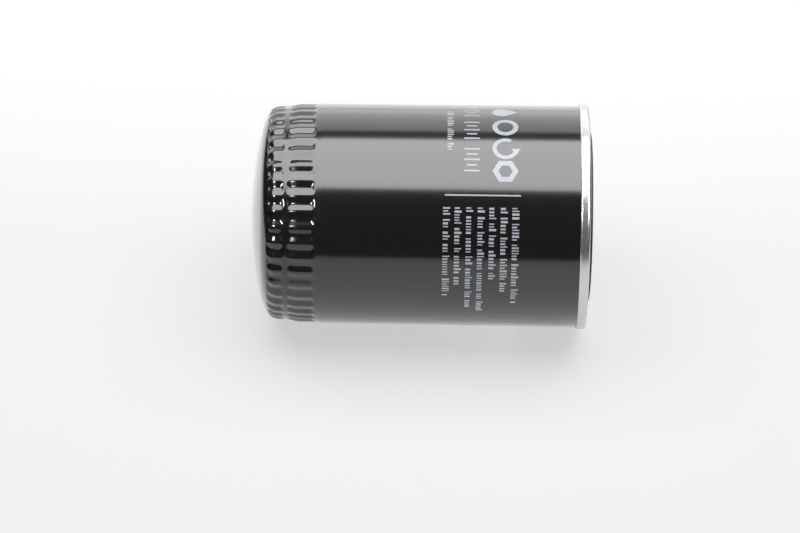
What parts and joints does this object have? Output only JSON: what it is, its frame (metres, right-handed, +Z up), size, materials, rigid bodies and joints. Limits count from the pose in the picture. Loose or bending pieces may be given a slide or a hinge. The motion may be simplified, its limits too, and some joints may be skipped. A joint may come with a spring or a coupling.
{
  "type": "oil filter",
  "caption": "Spin-on engine oil filter: black drawn can with wrench flutes, rolled steel rim, face gasket, threaded base plate, pleated element and bypass valve.",
  "frame": {"origin": "on the can's axis, halfway between the crown of the dome and the gasket's sealing face", "axes": "+X along the can's axis towards the threaded end and gasket, +Z up with the filter lying on its side"},
  "size_m": [0.142, 0.0946, 0.0946],
  "materials": {
    "black_lacquer": "high-gloss black stove lacquer",
    "plated_steel": "bright tin or zinc plate, drawn and rolled",
    "sealing_compound": "cured seam sealing compound",
    "gasket_rubber": "moulded black nitrile rubber, slight sheen",
    "plate_steel": "blanked and tapped steel, oiled",
    "valve_rubber": "moulded red-brown silicone rubber",
    "cap_steel": "bright pressed steel",
    "tube_steel": "perforated steel strip",
    "spring_steel": "oil-tempered spring wire",
    "filter_paper": "resin-impregnated filter paper, matt",
    "potting": "cured end-cap adhesive"
  },
  "bodies": {
    "shell": {"can": "black_lacquer", "seam_cover": "plated_steel", "seam_compound": "sealing_compound", "sealing_gasket": "gasket_rubber", "base_plate": "plate_steel", "element_spring": "spring_steel"},
    "drain_valve_lip": {"anti_drain_valve": "valve_rubber"},
    "element": {"thread_end_cap": "cap_steel", "thread_end_potting": "potting", "pleated_media": "filter_paper", "pleat_seam_clip": "cap_steel", "centre_tube": "tube_steel", "dome_end_potting": "potting", "dome_end_cap": "cap_steel", "bypass_seat": "cap_steel", "bypass_cage": "cap_steel", "bypass_spring": "spring_steel"},
    "bypass_plunger": {"bypass_disc": "cap_steel", "bypass_seal": "gasket_rubber"}
  },
  "joints": [
    {"name": "element_float", "type": "slide", "parent": "shell", "child": "element", "axis": [1, 0, 0], "range_m": [-0.0015, 0], "stiffness_N_per_m": 4000, "springref_m": 0.01, "deforming": ["element_spring"]},
    {"name": "bypass_lift", "type": "slide", "parent": "element", "child": "bypass_plunger", "axis": [1, 0, 0], "range_m": [0, 0.004], "stiffness_N_per_m": 4000, "springref_m": -0.015, "deforming": ["bypass_spring"]},
    {"name": "drain_lip_lift", "type": "slide", "parent": "shell", "child": "drain_valve_lip", "axis": [-1, 0, 0], "range_m": [0, 0.0015], "stiffness_N_per_m": 300, "springref_m": -0.002, "deforming": ["anti_drain_valve"]}
  ]
}
